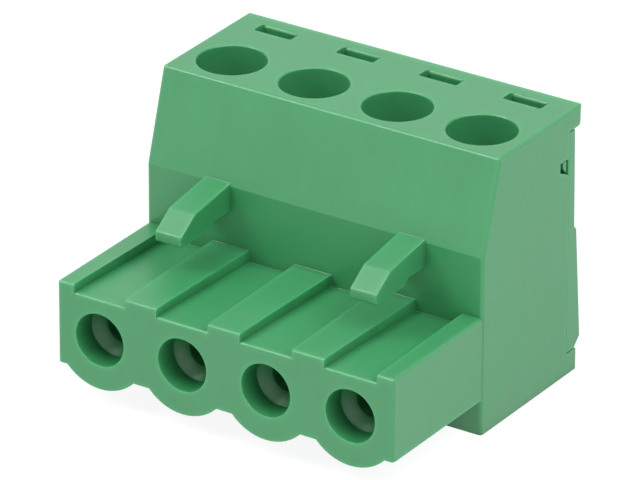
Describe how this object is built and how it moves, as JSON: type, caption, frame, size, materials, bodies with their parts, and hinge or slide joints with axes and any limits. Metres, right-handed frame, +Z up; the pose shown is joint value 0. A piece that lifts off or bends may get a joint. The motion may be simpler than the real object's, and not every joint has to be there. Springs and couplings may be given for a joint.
{
  "type": "pluggable terminal block",
  "caption": "Straight pluggable screw terminal block: a plug nose with pin sockets and latch hooks in front of a taller body with screw clamps and wire entries.",
  "frame": {"origin": "middle of the base plane, under the centre of the whole body", "axes": "+X along the row of poles, -Y out of the plug nose, +Y to the wire side, +Z up through the roof"},
  "size_m": [0.0206, 0.0176, 0.015],
  "materials": {
    "polyamide": "semi-gloss moulded green polyamide",
    "tinned_bronze": "bright tin plate on bronze strip",
    "plated_steel": "zinc plated steel"
  },
  "bodies": {
    "shell": {"housing": "polyamide", "rear_cover": "polyamide", "contact_1": "tinned_bronze", "contact_2": "tinned_bronze", "contact_3": "tinned_bronze", "contact_4": "tinned_bronze"},
    "screw_1": {"clamp_screw_1": "plated_steel"},
    "cage_1": {"clamp_cage_1": "plated_steel"},
    "screw_2": {"clamp_screw_2": "plated_steel"},
    "cage_2": {"clamp_cage_2": "plated_steel"},
    "screw_3": {"clamp_screw_3": "plated_steel"},
    "cage_3": {"clamp_cage_3": "plated_steel"},
    "screw_4": {"clamp_screw_4": "plated_steel"},
    "cage_4": {"clamp_cage_4": "plated_steel"}
  },
  "joints": [
    {"name": "screw_1_turn", "type": "hinge", "parent": "shell", "child": "screw_1", "pos_m": [-0.00762, 0.0033, 0.009], "axis": [0, 0, -1], "range_deg": [0, 1800]},
    {"name": "cage_1_lift", "type": "slide", "parent": "shell", "child": "cage_1", "axis": [0, 0, 1], "range_m": [0, 0.0025]},
    {"name": "screw_2_turn", "type": "hinge", "parent": "shell", "child": "screw_2", "pos_m": [-0.00254, 0.0033, 0.009], "axis": [0, 0, -1], "range_deg": [0, 1800]},
    {"name": "cage_2_lift", "type": "slide", "parent": "shell", "child": "cage_2", "axis": [0, 0, 1], "range_m": [0, 0.0025]},
    {"name": "screw_3_turn", "type": "hinge", "parent": "shell", "child": "screw_3", "pos_m": [0.00254, 0.0033, 0.009], "axis": [0, 0, -1], "range_deg": [0, 1800]},
    {"name": "cage_3_lift", "type": "slide", "parent": "shell", "child": "cage_3", "axis": [0, 0, 1], "range_m": [0, 0.0025]},
    {"name": "screw_4_turn", "type": "hinge", "parent": "shell", "child": "screw_4", "pos_m": [0.00762, 0.0033, 0.009], "axis": [0, 0, -1], "range_deg": [0, 1800]},
    {"name": "cage_4_lift", "type": "slide", "parent": "shell", "child": "cage_4", "axis": [0, 0, 1], "range_m": [0, 0.0025]}
  ],
  "couplings": [
    {"joint": "screw_1_turn", "follows": "cage_1_lift", "rad_per_m": 12566},
    {"joint": "screw_2_turn", "follows": "cage_2_lift", "rad_per_m": 12566},
    {"joint": "screw_3_turn", "follows": "cage_3_lift", "rad_per_m": 12566},
    {"joint": "screw_4_turn", "follows": "cage_4_lift", "rad_per_m": 12566}
  ]
}
